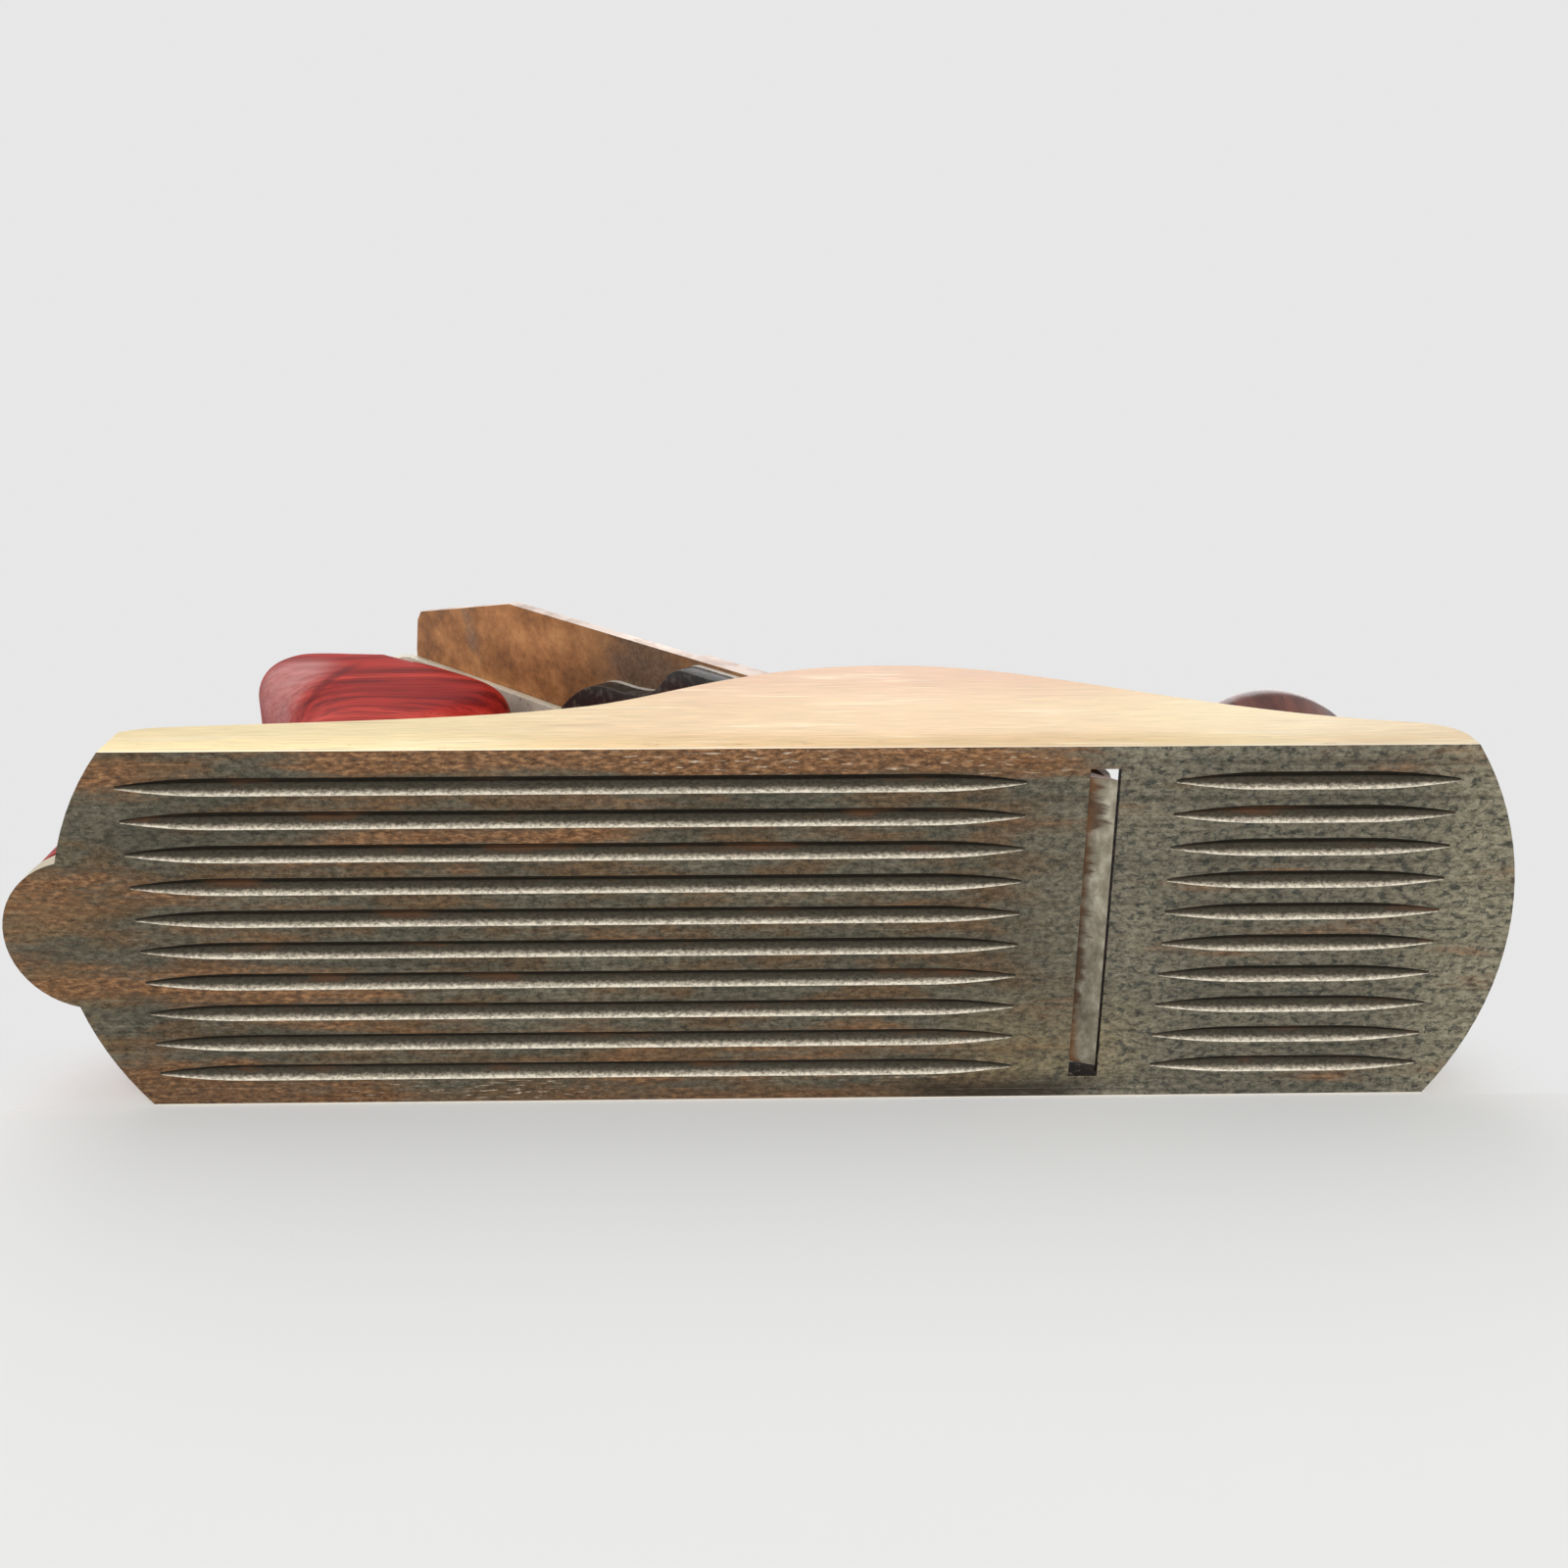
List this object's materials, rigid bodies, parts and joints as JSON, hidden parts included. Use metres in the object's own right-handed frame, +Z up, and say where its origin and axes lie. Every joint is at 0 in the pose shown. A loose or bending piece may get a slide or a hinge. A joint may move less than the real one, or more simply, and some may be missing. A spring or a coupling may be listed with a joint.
{
  "type": "smoothing plane",
  "caption": "Iron smoothing plane with a corrugated sole, sloping plane iron, lever cap, depth nut, lateral lever, wooden tote and knob.",
  "frame": {"origin": "on the sole, midway between the tips of heel and toe and midway across", "axes": "+X to the toe, +Y to the plane's left cheek, +Z up from the sole"},
  "size_m": [0.24, 0.062, 0.1331],
  "materials": {
    "cast_iron": "dark mottled grey-brown iron with rust and bright ground lands",
    "black_japan": "glossy black japanning, worn at the machined edges",
    "old_steel": "dull steel with brown age spots",
    "blade_steel": "rust-brown steel with grey ground edges",
    "bright_steel": "worn bright plated steel",
    "brass": "dull tarnished brass",
    "rosewood": "deep cherry-red stained hardwood, glossy",
    "knob_wood": "dark red-brown hardwood, glossy"
  },
  "bodies": {
    "body": {"plane_body": "cast_iron", "frog_screws": "old_steel", "frog_washers": "old_steel", "knob": "knob_wood", "knob_rod": "old_steel", "knob_nut": "brass", "tote": "rosewood", "tote_rod": "old_steel", "tote_nut": "brass"},
    "frog": {"frog": "black_japan", "frog_clip": "old_steel", "frog_clip_screw": "old_steel", "depth_stud": "old_steel", "y_lever_pin": "old_steel", "lateral_rivet": "bright_steel", "lever_cap": "bright_steel", "lever_cap_screw": "bright_steel", "cam_pin": "old_steel", "cap_spring": "old_steel", "cap_spring_rivet": "old_steel"},
    "frog_screw": {"frog_adjusting_screw": "old_steel"},
    "depth_nut": {"depth_nut": "brass"},
    "y_lever": {"y_lever": "black_japan"},
    "lateral_lever": {"lateral_lever": "bright_steel", "lateral_disc": "bright_steel", "disc_rivet": "bright_steel"},
    "iron_screw": {"cap_iron_screw": "old_steel"},
    "irons": {"plane_iron": "blade_steel", "cap_iron": "blade_steel"},
    "cam_lever": {"cam_lever": "bright_steel"}
  },
  "joints": [
    {"name": "frog_slide", "type": "slide", "parent": "body", "child": "frog", "axis": [1, 0, 0], "range_m": [-0.00085, 0.00005]},
    {"name": "frog_screw_turn", "type": "hinge", "parent": "frog", "child": "frog_screw", "pos_m": [-0.008, 0, 0.0086], "axis": [1, 0, 0], "range_deg": [-241, 14.2]},
    {"name": "iron_depth", "type": "slide", "parent": "frog", "child": "iron_screw", "axis": [0.7071, 0, -0.7071], "range_m": [-0.002, 0.0006]},
    {"name": "iron_tilt", "type": "hinge", "parent": "iron_screw", "child": "irons", "pos_m": [0.00791, 0, 0.04384], "axis": [0.7071, 0, 0.7071], "range_deg": [-1.55, 1.55]},
    {"name": "lateral_swing", "type": "hinge", "parent": "frog", "child": "lateral_lever", "pos_m": [-0.02815, 0, 0.0799], "axis": [0.7071, 0, 0.7071], "range_deg": [-4.8, 4.8]},
    {"name": "y_lever_turn", "type": "hinge", "parent": "frog", "child": "y_lever", "pos_m": [-0.01118, 0, 0.0502], "axis": [0, 1, 0], "range_deg": [-9.5, 3]},
    {"name": "depth_nut_travel", "type": "slide", "parent": "frog", "child": "depth_nut", "axis": [1, 0, 0], "range_m": [-0.0009, 0.0028]},
    {"name": "cam_lever_lift", "type": "hinge", "parent": "frog", "child": "cam_lever", "pos_m": [-0.01217, 0, 0.07891], "axis": [0, 1, 0], "range_deg": [0, 100]}
  ],
  "couplings": [
    {"joint": "frog_screw_turn", "follows": "frog_slide", "rad_per_m": 4947.4},
    {"joint": "y_lever_turn", "follows": "iron_depth", "rad_per_m": 80.645},
    {"joint": "depth_nut_travel", "follows": "iron_depth", "ratio": -1.3875},
    {"joint": "iron_tilt", "follows": "lateral_swing", "ratio": -0.30769}
  ]
}
